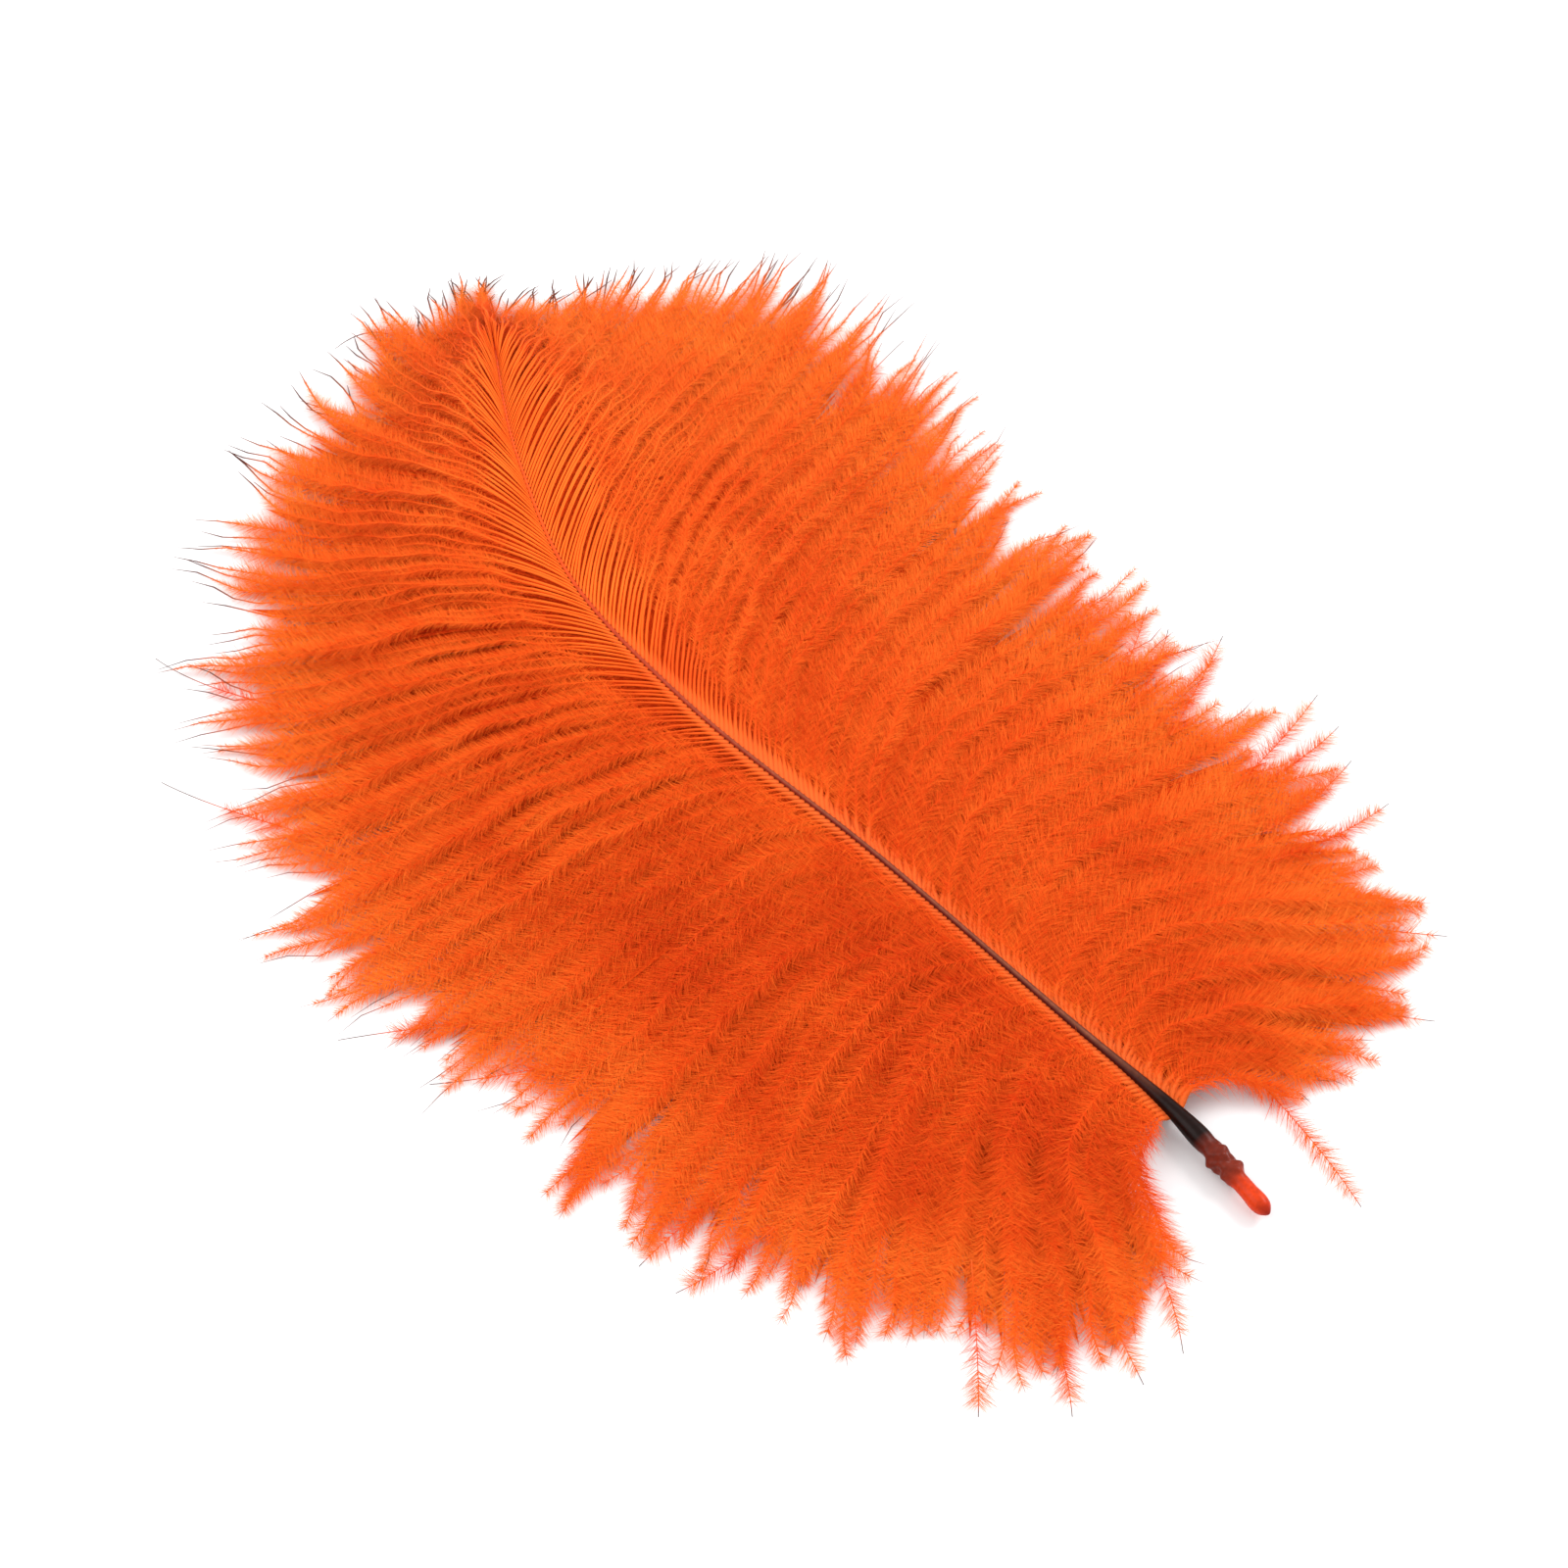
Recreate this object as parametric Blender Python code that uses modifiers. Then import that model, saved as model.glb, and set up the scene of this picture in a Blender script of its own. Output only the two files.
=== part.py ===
"""An ostrich plume lying on its underside: a tapering quill between two vanes of soft barbs.

Metres, +Z up. +Y runs along the feather from the quill end to the tip, and +X is the side of the
longer vane. The origin is at the middle of the feather's footprint, on the surface it lies on.
"""

import math

import bmesh
import bpy
import numpy as np

MM = 0.001

# The shaft: share of its length from the quill end, then its centre line in millimetres.
SHAFT_PATH = (
    (0.00, 0.0, 0.0, 2.6),
    (0.09, 4.6, 27.0, 3.6),
    (0.19, 4.5, 57.7, 7.3),
    (0.36, 3.2, 105.2, 14.8),
    (0.54, 0.0, 159.3, 22.8),
    (0.66, 4.2, 195.2, 25.2),
    (0.82, 23.8, 237.9, 22.9),
    (1.00, 54.3, 282.6, 12.0),
)

# The quill's half thickness in millimetres: round end, shrivelled collar, calamus, fine shaft.
QUILL_RADIUS = (
    (0.000, 1.00),
    (0.006, 1.75),
    (0.022, 1.80),
    (0.030, 1.90),
    (0.036, 2.50),
    (0.042, 2.10),
    (0.048, 2.55),
    (0.056, 2.05),
    (0.066, 2.20),
    (0.090, 1.70),
    (0.130, 1.00),
    (0.180, 0.75),
    (0.360, 0.55),
    (0.650, 0.38),
    (1.000, 0.20),
)
QUILL_STATIONS = 64
QUILL_END_CROWDING = 1.5  # stations gather at the quill end, where its outline changes most

# A vane's barbs: share of the shaft's length where they grow, their length in millimetres, and
# the angle in degrees between the shaft and the barb, where it starts and where it ends.
LEFT_BARBS = (
    (0.09, 44.0, 75.0, 160.0),
    (0.12, 74.0, 62.0, 146.0),
    (0.18, 91.0, 54.0, 123.0),
    (0.28, 99.0, 50.0, 102.0),
    (0.42, 105.0, 48.0, 74.0),
    (0.56, 99.0, 43.0, 62.0),
    (0.72, 84.0, 33.0, 69.0),
    (0.82, 76.0, 29.0, 51.0),
    (0.90, 61.0, 27.0, 36.0),
    (1.00, 30.0, 15.0, 8.0),
)
RIGHT_BARBS = (
    (0.09, 32.0, 60.0, 139.0),
    (0.12, 71.0, 48.0, 144.0),
    (0.16, 93.0, 44.0, 137.0),
    (0.22, 105.0, 42.0, 113.0),
    (0.35, 118.0, 42.0, 93.0),
    (0.47, 138.0, 42.0, 82.0),
    (0.58, 154.0, 38.0, 67.0),
    (0.66, 145.0, 33.0, 55.0),
    (0.75, 120.0, 29.0, 37.0),
    (0.85, 84.0, 25.0, 27.0),
    (1.00, 29.0, 15.0, 8.0),
)
BARB_TURNING = 3.0  # above 1 a barb makes most of its turn near the shaft

# Barbs cling together in pointed locks along a vane's free edge.
LOCKS = 26
LOCK_CROWDING = 1.4  # locks gather at the vane's base, where the barbs fan out
COLUMNS_PER_LOCK = 4
ROWS = 9
LOCK_LENGTH_SPREAD = 0.05
NOTCH_AT_BASE = 0.18  # depth of the gap between two locks, as a share of the barb's length
NOTCH_AT_TIP = 0.12
LOCK_SEED = 7

VANE_START = 0.09
VANE_GAP = 0.35 * MM  # from the quill's side to the vane's root edge
VANE_THICKNESS = 5.5 * MM
ROOT_THICKNESS = 0.30  # shares of the full thickness
TIP_THICKNESS = 0.25
VALLEY_THICKNESS = 0.55
ROOT_DROP = 0.8 * MM  # a vane's underside starts this far below the shaft's centre line
LYING_FROM = 0.84  # share of a barb's length from where it lies flat on the surface

QUILL_COLOUR = (0.105, 0.018, 0.012, 1.0)
QUILL_ROUGHNESS = 0.35
VANE_COLOUR = (0.93, 0.115, 0.014, 1.0)
VANE_ROUGHNESS = 0.8


def clear_scene():
    for obj in list(bpy.data.objects):
        bpy.data.objects.remove(obj, do_unlink=True)


def make_collection(name):
    collection = bpy.data.collections.new(name)
    bpy.context.scene.collection.children.link(collection)
    return collection


def make_material(name, colour, roughness):
    material = bpy.data.materials.new(name)
    material.use_nodes = True
    shader = material.node_tree.nodes["Principled BSDF"]
    shader.inputs["Base Color"].default_value = colour
    shader.inputs["Roughness"].default_value = roughness
    shader.inputs["Metallic"].default_value = 0.0
    material.diffuse_color = colour
    return material


def smooth_through(keys, at):
    """The values at the places asked for, on a smooth curve through the keys.

    Each stretch between two keys is a cubic whose end slopes are the mean slopes of the keys
    on both sides. A key is its place followed by one or more values.
    """
    table = np.array(keys)
    places = table[:, 0]
    values = table[:, 1:]
    slopes = np.gradient(values, places, axis=0)
    stretch = np.clip(np.searchsorted(places, at, side="right") - 1, 0, len(places) - 2)
    width = (places[stretch + 1] - places[stretch])[..., None]
    x = (np.asarray(at) - places[stretch])[..., None] / width
    start = values[stretch] * (1 + 2 * x) * (1 - x) ** 2
    end = values[stretch + 1] * (3 - 2 * x) * x**2
    bend = slopes[stretch] * x * (1 - x) ** 2 - slopes[stretch + 1] * x**2 * (1 - x)
    return start + end + bend * width


def shaft_at(share):
    """The shaft's centre line in metres, at shares of its length."""
    return smooth_through(SHAFT_PATH, share) * MM


def quill_radius_at(share):
    return smooth_through(QUILL_RADIUS, share)[..., 0] * MM


def make_quill(material, collection):
    """One tube along the shaft whose radius follows the quill, made a mesh with closed ends."""
    share = np.linspace(0, 1, QUILL_STATIONS) ** QUILL_END_CROWDING
    curve = bpy.data.curves.new("quill", "CURVE")
    curve.dimensions = "3D"
    curve.bevel_depth = 1.0
    curve.bevel_resolution = 3
    curve.use_fill_caps = True
    spline = curve.splines.new("POLY")
    spline.points.add(QUILL_STATIONS - 1)
    for point, place, radius in zip(spline.points, shaft_at(share), quill_radius_at(share)):
        point.co = (*place, 1.0)
        point.radius = radius
    tube = bpy.data.objects.new("quill_tube", curve)
    collection.objects.link(tube)
    graph = bpy.context.evaluated_depsgraph_get()
    mesh = bpy.data.meshes.new_from_object(tube.evaluated_get(graph))
    bpy.data.objects.remove(tube, do_unlink=True)

    shape = bmesh.new()
    shape.from_mesh(mesh)
    bmesh.ops.remove_doubles(shape, verts=shape.verts, dist=0.01 * MM)
    shape.to_mesh(mesh)
    shape.free()
    mesh.materials.clear()
    mesh.materials.append(material)
    mesh.shade_smooth()
    quill = bpy.data.objects.new("quill", mesh)
    collection.objects.link(quill)
    return quill


def lock_lengths(column, seed):
    """How long the barbs of a lock are beside their own length, a little different from lock to
    lock, and in between where two locks meet.
    """
    lengths = 1 + LOCK_LENGTH_SPREAD * np.random.default_rng(seed).uniform(-1, 1, LOCKS)
    return np.interp(column, np.arange(LOCKS) + 0.5, lengths)


def vane_surface(keys, side, column, outward, seed):
    """The underside of a vane, and the share of the full thickness there.

    column counts locks along the vane and outward runs from 0 at the shaft to 1 at the tips.
    A barb turns from its first angle to its last, fastest near the shaft, so its place is its
    root plus the sum of its direction over its length. It leaves the shaft level, sags and then
    lies flat.
    """
    share = VANE_START + (1 - VANE_START) * (column / LOCKS) ** LOCK_CROWDING
    length, first_angle, last_angle = smooth_through(keys, share).T
    along = shaft_at(np.clip(share + 0.01, 0, 1)) - shaft_at(np.clip(share - 0.01, 0, 1))
    heading = np.arctan2(along[:, 0], along[:, 1])
    root = shaft_at(share)
    root_offset = quill_radius_at(share) + VANE_GAP
    root[:, 0] += side * root_offset * np.cos(heading)
    root[:, 1] -= side * root_offset * np.sin(heading)

    lock = np.minimum(column.astype(int), LOCKS - 1)
    crest = 1 - np.abs(2 * (column - lock) - 1)
    notch = NOTCH_AT_BASE + (NOTCH_AT_TIP - NOTCH_AT_BASE) * share
    reach = length * MM * lock_lengths(column, seed) * (1 - notch * (1 - crest))

    steps = 12
    middle = (np.arange(steps) + 0.5) / steps * outward[:, None]
    turned = 1 - (1 - middle) ** BARB_TURNING
    turn = np.radians(first_angle[:, None] + (last_angle - first_angle)[:, None] * turned)
    direction = heading[:, None] + side * turn
    points = root.copy()
    points[:, 0] += reach * outward * np.sin(direction).mean(axis=1)
    points[:, 1] += reach * outward * np.cos(direction).mean(axis=1)
    sag = np.minimum(outward / LYING_FROM, 1)
    points[:, 2] = (root[:, 2] - ROOT_DROP) * (1 - sag**2) ** 2

    swell = ROOT_THICKNESS + (1 - ROOT_THICKNESS) * np.sin(math.pi * np.minimum(outward * 1.2, 0.5))
    taper = 1 - (1 - TIP_THICKNESS) * np.maximum(outward - 0.4, 0) / 0.6
    ridge = VALLEY_THICKNESS + (1 - VALLEY_THICKNESS) * crest
    ridge = 1 + (ridge - 1) * outward
    return points, swell * taper * ridge


def make_vane(name, keys, side, seed, material, collection):
    """A grid laid over the barbs, thickened upwards, with a row of locks along its free edge."""
    columns = LOCKS * COLUMNS_PER_LOCK
    shape = bmesh.new()
    bmesh.ops.create_grid(shape, x_segments=columns, y_segments=ROWS, size=0.5)
    mesh = bpy.data.meshes.new(name)
    shape.to_mesh(mesh)
    shape.free()

    flat = np.empty(len(mesh.vertices) * 3)
    mesh.vertices.foreach_get("co", flat)
    flat = flat.reshape(-1, 3)
    column = np.round((flat[:, 0] + 0.5) * columns) / COLUMNS_PER_LOCK
    outward = flat[:, 1] + 0.5
    points, thickness = vane_surface(keys, side, column, outward, seed)
    mesh.vertices.foreach_set("co", points.ravel())
    if side > 0:
        mesh.flip_normals()
    mesh.materials.append(material)
    mesh.shade_smooth()

    vane = bpy.data.objects.new(name, mesh)
    collection.objects.link(vane)
    group = vane.vertex_groups.new(name="thickness")
    for index, share in enumerate(thickness):
        group.add([index], float(share), "REPLACE")
    solidify = vane.modifiers.new("Thickness", "SOLIDIFY")
    solidify.thickness = VANE_THICKNESS
    solidify.offset = 1.0
    solidify.vertex_group = group.name
    return vane


def centre_on_footprint(objects):
    """Moves everything so that the middle of its footprint is at the origin."""
    bpy.context.view_layer.update()
    graph = bpy.context.evaluated_depsgraph_get()
    corners = np.concatenate([np.array(obj.evaluated_get(graph).bound_box) for obj in objects])
    middle = (corners.min(axis=0) + corners.max(axis=0)) / 2
    for obj in objects:
        obj.location = (-middle[0], -middle[1], -corners[:, 2].min())


def main():
    clear_scene()
    collection = make_collection("ostrich_feather")
    horn = make_material("quill", QUILL_COLOUR, QUILL_ROUGHNESS)
    down = make_material("barbs", VANE_COLOUR, VANE_ROUGHNESS)
    quill = make_quill(horn, collection)
    left = make_vane("vane_left", LEFT_BARBS, -1, LOCK_SEED, down, collection)
    right = make_vane("vane_right", RIGHT_BARBS, 1, LOCK_SEED + 1, down, collection)
    centre_on_footprint([quill, left, right])


main()
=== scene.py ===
import math

import bpy
import numpy as np
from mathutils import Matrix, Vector


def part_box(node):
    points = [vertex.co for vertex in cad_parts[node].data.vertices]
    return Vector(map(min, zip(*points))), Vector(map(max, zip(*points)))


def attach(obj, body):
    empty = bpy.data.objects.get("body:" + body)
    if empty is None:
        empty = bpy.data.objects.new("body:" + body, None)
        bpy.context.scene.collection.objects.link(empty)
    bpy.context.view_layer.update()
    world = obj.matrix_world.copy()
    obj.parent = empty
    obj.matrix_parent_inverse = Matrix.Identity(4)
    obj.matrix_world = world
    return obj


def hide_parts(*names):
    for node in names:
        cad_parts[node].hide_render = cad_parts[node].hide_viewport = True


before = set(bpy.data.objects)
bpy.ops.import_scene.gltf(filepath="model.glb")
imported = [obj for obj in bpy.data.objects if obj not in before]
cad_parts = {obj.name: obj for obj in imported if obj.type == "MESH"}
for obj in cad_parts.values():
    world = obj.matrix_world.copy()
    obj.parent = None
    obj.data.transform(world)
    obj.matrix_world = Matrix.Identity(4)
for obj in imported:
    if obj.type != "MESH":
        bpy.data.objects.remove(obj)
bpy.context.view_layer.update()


# The quill
# The feather's horn: a clear red-orange end, a shrivelled collar, the dark hollow calamus and the
# rachis that tapers to a hair. It grew as one piece and took the dye less the thicker it is.
MM = 0.001

# Share of the shaft's length from the quill end, then its centre line in millimetres.
SHAFT_PATH = (
    (0.00, 0.0, 0.0, 2.6),
    (0.09, 4.6, 27.0, 3.6),
    (0.19, 4.5, 57.7, 7.3),
    (0.36, 3.2, 105.2, 14.8),
    (0.54, 0.0, 159.3, 22.8),
    (0.66, 4.2, 195.2, 25.2),
    (0.82, 23.8, 237.9, 22.9),
    (1.00, 54.3, 282.6, 12.0),
)

# The same shares, then the quill's half thickness in millimetres.
QUILL_RADIUS = (
    (0.000, 1.00),
    (0.006, 1.75),
    (0.022, 1.80),
    (0.030, 1.90),
    (0.036, 2.50),
    (0.042, 2.10),
    (0.048, 2.55),
    (0.056, 2.05),
    (0.066, 2.20),
    (0.090, 1.70),
    (0.130, 1.00),
    (0.180, 0.75),
    (0.360, 0.55),
    (0.650, 0.38),
    (1.000, 0.20),
)


def smooth_through(keys, at):
    """The values at the places asked for, on a smooth curve through the keys.

    Between two keys the value is the cubic that meets both, with the mean slope of the keys on
    both sides at each: h00 a + h10 w a' + h01 b + h11 w b' over a stretch of width w.
    """
    table = np.array(keys)
    places = table[:, 0]
    values = table[:, 1:]
    slopes = np.gradient(values, places, axis=0)
    stretch = np.clip(np.searchsorted(places, at, side="right") - 1, 0, len(places) - 2)
    width = (places[stretch + 1] - places[stretch])[..., None]
    x = (np.asarray(at) - places[stretch])[..., None] / width
    start = values[stretch] * (1 + 2 * x) * (1 - x) ** 2
    end = values[stretch + 1] * (3 - 2 * x) * x**2
    bend = slopes[stretch] * x * (1 - x) ** 2 - slopes[stretch + 1] * x**2 * (1 - x)
    return start + end + bend * width


def heading_at(share):
    """The shaft's direction in plan: the angle from +Y towards +X of a short chord of it."""
    step = 0.01
    ahead = smooth_through(SHAFT_PATH, np.clip(share + step, 0, 1))
    behind = smooth_through(SHAFT_PATH, np.clip(share - step, 0, 1))
    along = ahead - behind
    return np.arctan2(along[..., 0], along[..., 1])


def quill_radius_at(share):
    """Half the quill's thickness in metres."""
    return smooth_through(QUILL_RADIUS, share)[..., 0] * MM


# The shaft's path is drawn from the quill end, and the CAD quill says where its tip lies.
tip_share = np.array([1.0])
tip_side = np.array([np.cos(heading_at(tip_share))[0], -np.sin(heading_at(tip_share))[0]])
tip_reach = np.abs(tip_side) * quill_radius_at(tip_share)[0]
path_tip = smooth_through(SHAFT_PATH, tip_share)[0] * MM
PLACE = np.array([*(np.array(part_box("quill")[1])[:2] - tip_reach - path_tip[:2]), 0.0])


def shaft_at(share):
    """The shaft's centre line in metres, in the frame of the CAD."""
    return smooth_through(SHAFT_PATH, share) * MM + PLACE


def piece_from(name, points, faces, material, **values):
    """A mesh piece from an array of points and one of faces, with a value per point for each name."""
    mesh = bpy.data.meshes.new(name)
    corners = faces.shape[1]
    mesh.vertices.add(len(points))
    mesh.vertices.foreach_set("co", np.ascontiguousarray(points, np.float32).ravel())
    mesh.loops.add(faces.size)
    mesh.loops.foreach_set("vertex_index", np.ascontiguousarray(faces, np.int32).ravel())
    mesh.polygons.add(len(faces))
    mesh.polygons.foreach_set("loop_start", np.arange(0, faces.size, corners, dtype=np.int32))
    mesh.polygons.foreach_set("use_smooth", np.ones(len(faces), bool))
    mesh.update(calc_edges=True)
    for value_name, value in values.items():
        attribute = mesh.attributes.new(value_name, "FLOAT", "POINT")
        attribute.data.foreach_set("value", np.ascontiguousarray(value, np.float32).ravel())
    mesh.materials.append(material)
    piece = bpy.data.objects.new(name, mesh)
    bpy.context.scene.collection.objects.link(piece)
    return piece


class MaterialNodes:
    """A material with its Principled shader, and a short way to add and join nodes."""

    def __init__(self, name):
        self.material = bpy.data.materials.new(name)
        self.material.use_nodes = True
        self.tree = self.material.node_tree
        self.shader = self.tree.nodes["Principled BSDF"]

    def node(self, kind, inputs=(), **settings):
        """A new node with its settings. Each input gets a value, or a link from a socket."""
        made = self.tree.nodes.new(kind)
        for setting, value in settings.items():
            setattr(made, setting, value)
        for socket, value in dict(inputs).items():
            if isinstance(value, bpy.types.NodeSocket):
                self.tree.links.new(value, made.inputs[socket])
            else:
                made.inputs[socket].default_value = value
        return made

    def attribute(self, name):
        """The mesh's own value of that name."""
        return self.node("ShaderNodeAttribute", attribute_name=name).outputs["Fac"]

    def ramp(self, factor, stops):
        """The colour at the factor, straight from each stop to the next."""
        made = self.node("ShaderNodeValToRGB", {"Fac": factor})
        elements = made.color_ramp.elements
        while len(elements) < len(stops):
            elements.new(0.5)
        for element, (position, colour) in zip(elements, stops):
            element.position = position
            element.color = colour
        return made.outputs["Color"]

    def mix(self, factor, first, second, blend="MIX"):
        """The first colour blended with the second. A colour mix takes them at sockets 0, 6 and 7."""
        made = self.node("ShaderNodeMix", data_type="RGBA", blend_type=blend)
        for socket, value in ((0, factor), (6, first), (7, second)):
            if isinstance(value, bpy.types.NodeSocket):
                self.tree.links.new(value, made.inputs[socket])
            else:
                made.inputs[socket].default_value = value
        return made.outputs[2]

    def link(self, output, socket):
        """Feeds an input of the Principled shader."""
        self.tree.links.new(output, self.shader.inputs[socket])


# In shares of the quill's length, or of its half thickness: the rings crowd towards its rounded
# end, the collar's lumps wind round it in two waves, and further on the shaft's top is flattened.
# The flat and the painted highlight along its top are narrower the higher the power of the sine round the
# shaft.
QUILL_RINGS = 420
QUILL_SIDES = 28
RING_CROWDING = 1.35
ROUNDED_TO = 0.006
COLLAR_FROM, COLLAR_TO = 0.027, 0.062
COLLAR_LUMP = 0.15
COLLAR_TWIST = 340.0
LUMPS_ROUND, SMALL_LUMPS_ROUND = 3, 5
SMALL_LUMPS, SMALL_LUMPS_TWIST = 0.6, 1.7
RIDGE_FROM, RIDGE_OVER = 0.10, 0.06
RIDGE_FLATTENING, RIDGE_NARROWNESS = 0.16, 6
HIGHLIGHT_NARROWNESS = 5
LOWEST_HORN = 0.05 * MM

ring_share = np.linspace(0, 1, QUILL_RINGS) ** RING_CROWDING
around = np.linspace(0, 2 * math.pi, QUILL_SIDES, endpoint=False)


def tube_along(share, radius_shape):
    """Points of a tube round the shaft: centre + r (cos a * sideways + sin a * upwards)."""
    centre = shaft_at(share)
    along = np.gradient(centre, axis=0)
    along /= np.linalg.norm(along, axis=1, keepdims=True)
    sideways = np.cross(along, [0.0, 0.0, 1.0])
    sideways /= np.linalg.norm(sideways, axis=1, keepdims=True)
    upwards = np.cross(sideways, along)
    turn = around[None, :, None]
    out = np.cos(turn) * sideways[:, None] + np.sin(turn) * upwards[:, None]
    return centre[:, None] + radius_shape[..., None] * out


def tube_faces(rings, sides):
    """Quads between neighbouring rings, the last side joined to the first, facing out."""
    ring, side = np.meshgrid(np.arange(rings - 1), np.arange(sides), indexing="ij")
    beside = (side + 1) % sides
    corners = (ring * sides + side, (ring + 1) * sides + side,
               (ring + 1) * sides + beside, ring * sides + beside)
    return np.stack(corners, axis=-1).reshape(-1, 4)


collar = np.clip((ring_share - COLLAR_FROM) / (COLLAR_TO - COLLAR_FROM), 0, 1)
collar = np.sin(math.pi * collar)[:, None]
lumps = np.sin(LUMPS_ROUND * around[None] + COLLAR_TWIST * ring_share[:, None])
small_twist = SMALL_LUMPS_TWIST * COLLAR_TWIST * ring_share[:, None]
lumps = lumps + SMALL_LUMPS * np.sin(SMALL_LUMPS_ROUND * around[None] - small_twist + 1.0)
shaft_part = np.clip((ring_share - RIDGE_FROM) / RIDGE_OVER, 0, 1)[:, None]
upper_flat = np.maximum(np.sin(around), 0)[None] ** RIDGE_NARROWNESS
quill_shape = quill_radius_at(ring_share)[:, None] * (
    1 + COLLAR_LUMP * collar * lumps - RIDGE_FLATTENING * shaft_part * upper_flat
)
round_end = np.sqrt(np.clip(1 - (1 - np.minimum(ring_share / ROUNDED_TO, 1)) ** 2, 0.0004, 1))
quill_shape = quill_shape * round_end[:, None]

quill_points = tube_along(ring_share, quill_shape)
quill_points[..., 2] = np.maximum(quill_points[..., 2], LOWEST_HORN)
quill_faces = tube_faces(QUILL_RINGS, QUILL_SIDES)

horn = MaterialNodes("dyed_horn")
along_quill = horn.attribute("along")
highlight_line = horn.attribute("top")
horn_noise = horn.node("ShaderNodeTexNoise", {
    "Vector": horn.node("ShaderNodeTexCoord").outputs["Object"], "Scale": 900.0, "Detail": 4.0})
HORN_STOPS = (
    (0.000, (0.34, 0.014, 0.004, 1.0)),
    (0.010, (0.70, 0.050, 0.007, 1.0)),
    (0.026, (0.60, 0.040, 0.006, 1.0)),
    (0.033, (0.20, 0.022, 0.009, 1.0)),
    (0.060, (0.13, 0.016, 0.008, 1.0)),
    (0.066, (0.010, 0.003, 0.002, 1.0)),
    (0.100, (0.012, 0.003, 0.002, 1.0)),
    (0.150, (0.070, 0.009, 0.007, 1.0)),
    (0.400, (0.180, 0.018, 0.010, 1.0)),
    (0.620, (0.520, 0.050, 0.012, 1.0)),
    (0.720, (0.840, 0.090, 0.010, 1.0)),
    (1.000, (0.900, 0.110, 0.012, 1.0)),
)
horn_colour = horn.ramp(along_quill, HORN_STOPS)
# A paler line along the top of the shaft's thick part is a painted highlight, mixed into the horn's colour.
painted_highlight_colour = horn.mix(0.6, horn_colour, (0.40, 0.13, 0.06, 1.0))
thick_part = horn.node("ShaderNodeMapRange", {
    "Value": along_quill, "From Min": 0.65, "From Max": 0.45, "To Min": 0.0, "To Max": 0.8})
painted_highlight_mask = horn.node("ShaderNodeMath", {
    0: highlight_line, 1: thick_part.outputs["Result"]}, operation="MULTIPLY").outputs[0]
horn_colour = horn.mix(painted_highlight_mask, horn_colour, painted_highlight_colour)
mottle = horn.ramp(horn_noise.outputs["Fac"], ((0.3, (0.6, 0.6, 0.6, 1)), (0.7, (1.25, 1.25, 1.25, 1))))
horn_colour = horn.mix(0.6, horn_colour, mottle, "MULTIPLY")
horn.link(horn_colour, "Base Color")
horn.shader.inputs["Roughness"].default_value = 0.32
horn.shader.inputs["Specular IOR Level"].default_value = 0.12
horn_bump = horn.node("ShaderNodeBump", {
    "Height": horn_noise.outputs["Fac"], "Strength": 0.25, "Distance": 0.0002})
horn.link(horn_bump.outputs["Normal"], "Normal")

ends = np.array([shaft_at(ring_share[:1])[0], shaft_at(ring_share[-1:])[0]])
quill_along = np.repeat(ring_share, QUILL_SIDES)
# Where the painted highlight lies: the upper side of the shaft, from the collar on.
quill_highlight = (shaft_part * np.maximum(np.sin(around), 0)[None] ** HIGHLIGHT_NARROWNESS).ravel()
first_cap = np.stack([np.full(QUILL_SIDES, QUILL_RINGS * QUILL_SIDES), np.arange(QUILL_SIDES),
                      (np.arange(QUILL_SIDES) + 1) % QUILL_SIDES], axis=1)
last_ring = (QUILL_RINGS - 1) * QUILL_SIDES
last_cap = np.stack([np.full(QUILL_SIDES, QUILL_RINGS * QUILL_SIDES + 1),
                     last_ring + (np.arange(QUILL_SIDES) + 1) % QUILL_SIDES,
                     last_ring + np.arange(QUILL_SIDES)], axis=1)
quill_triangles = np.concatenate([
    quill_faces[:, [0, 1, 2]], quill_faces[:, [0, 2, 3]], first_cap[:, [0, 2, 1]], last_cap[:, [0, 2, 1]]])
quill = piece_from(
    "quill_horn",
    np.concatenate([quill_points.reshape(-1, 3), ends]),
    quill_triangles,
    horn.material,
    along=np.concatenate([quill_along, [0.0, 1.0]]),
    top=np.concatenate([quill_highlight, [0.0, 0.0]]),
)
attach(quill, "root")
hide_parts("quill")


# The under-down
# The lowest down of both vanes, matted to flat wisps that close each vane against the ground. A
# wisp runs along the barbs above it, which it grew from, and ends in a point. Its deeper orange is
# painted shade for the gaps between the barbs above.

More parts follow.
